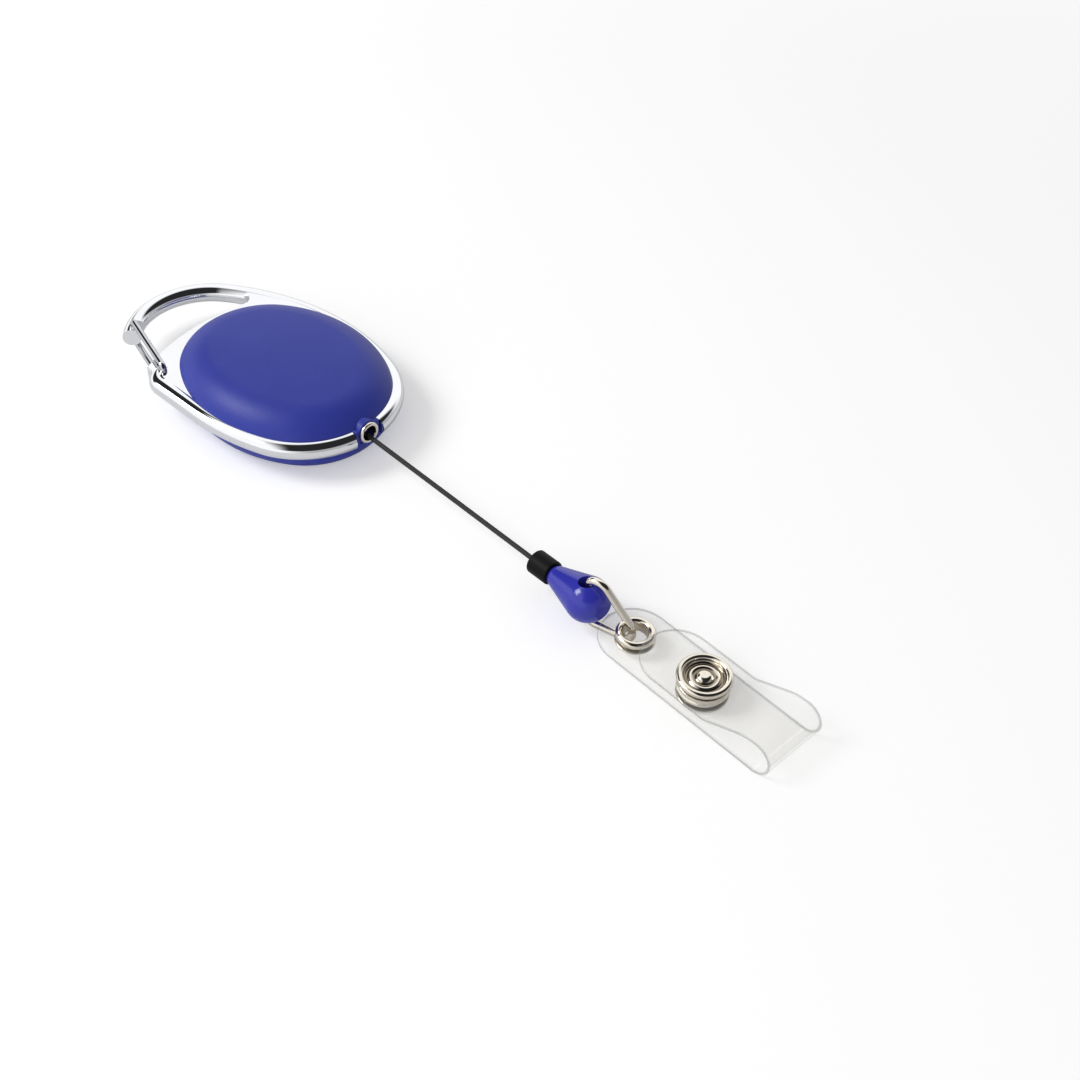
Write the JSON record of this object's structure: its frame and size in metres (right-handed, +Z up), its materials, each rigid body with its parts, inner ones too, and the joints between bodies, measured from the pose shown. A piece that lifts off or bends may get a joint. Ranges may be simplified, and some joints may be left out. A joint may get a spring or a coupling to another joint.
{
  "type": "retractable badge reel",
  "caption": "Retractable badge reel with an oval blue case in a chrome hook frame, a spring drum, a pull cord with a bead, and a clear snap strap",
  "frame": {"origin": "on the drum's axis, on the flat underside of the back cover", "axes": "+X along the cord as it leaves the case, +Z up out of the front cover, +Y to the hook's closed side"},
  "size_m": [0.1624, 0.0392, 0.013],
  "materials": {
    "case_blue": "satin soft-touch plastic",
    "bead_blue": "glossy moulded plastic",
    "chrome": "polished chrome plate on zinc",
    "wire": "bright spring wire",
    "nickel": "bright nickel plate",
    "steel": "turned steel",
    "spring_steel": "blued spring strip",
    "drum_plastic": "natural acetal",
    "cord": "braided nylon",
    "rubber": "matt moulded",
    "vinyl": "clear soft vinyl"
  },
  "bodies": {
    "housing": {"front_cover": "case_blue", "back_cover": "case_blue", "chrome_frame": "chrome", "exit_eyelet": "nickel", "spring_arbor": "steel", "mainspring": "spring_steel", "cord_lead": "cord"},
    "gate": {"gate_wire": "wire"},
    "drum": {"cord_drum": "drum_plastic", "drum_lid": "drum_plastic", "cord_core": "cord", "cord_turns": "cord"},
    "cord_end": {"free_cord": "cord", "stop_ferrule": "rubber", "bead": "bead_blue", "bead_knot": "cord"},
    "loop": {"bead_loop": "nickel"},
    "strap": {"strap_base": "vinyl", "strap_eyelet": "nickel", "snap_stud": "nickel", "snap_post": "nickel"},
    "flap": {"strap_flap": "vinyl", "snap_socket": "nickel", "snap_cap": "nickel"}
  },
  "joints": [
    {"name": "cord_pull", "type": "slide", "parent": "housing", "child": "cord_end", "axis": [0.9993, -0.0384, 0], "range_m": [-0.043, 0.75], "stiffness_N_per_m": 1, "deforming": ["free_cord"]},
    {"name": "drum_spin", "type": "hinge", "parent": "housing", "child": "drum", "pos_m": [0, 0, 0.0065], "axis": [0, 0, 1], "range_deg": [-220, 3800], "deforming": ["mainspring", "cord_turns"]},
    {"name": "gate_swing", "type": "hinge", "parent": "housing", "child": "gate", "pos_m": [-0.01682, -0.0157, 0.0065], "axis": [0, 0, -1], "range_deg": [0, 28], "stiffness_Nm_per_rad": 0.002},
    {"name": "loop_swing", "type": "hinge", "parent": "cord_end", "child": "loop", "pos_m": [0.08038, -0.0022, 0.0056], "axis": [0, 0, 1], "range_deg": [-45, 45]},
    {"name": "strap_swing", "type": "hinge", "parent": "loop", "child": "strap", "pos_m": [0.08958, -0.00061, 0.00195], "axis": [0.0629, -0.0018, 0.998], "range_deg": [-40, 40]},
    {"name": "flap_open", "type": "hinge", "parent": "strap", "child": "flap", "pos_m": [0.12381, -0.00157, 0.00315], "axis": [0.0279, 0.9996, 0], "range_deg": [0, 60], "stiffness_Nm_per_rad": 0.0005}
  ],
  "couplings": [
    {"joint": "drum_spin", "follows": "cord_pull", "rad_per_m": 86.969}
  ]
}
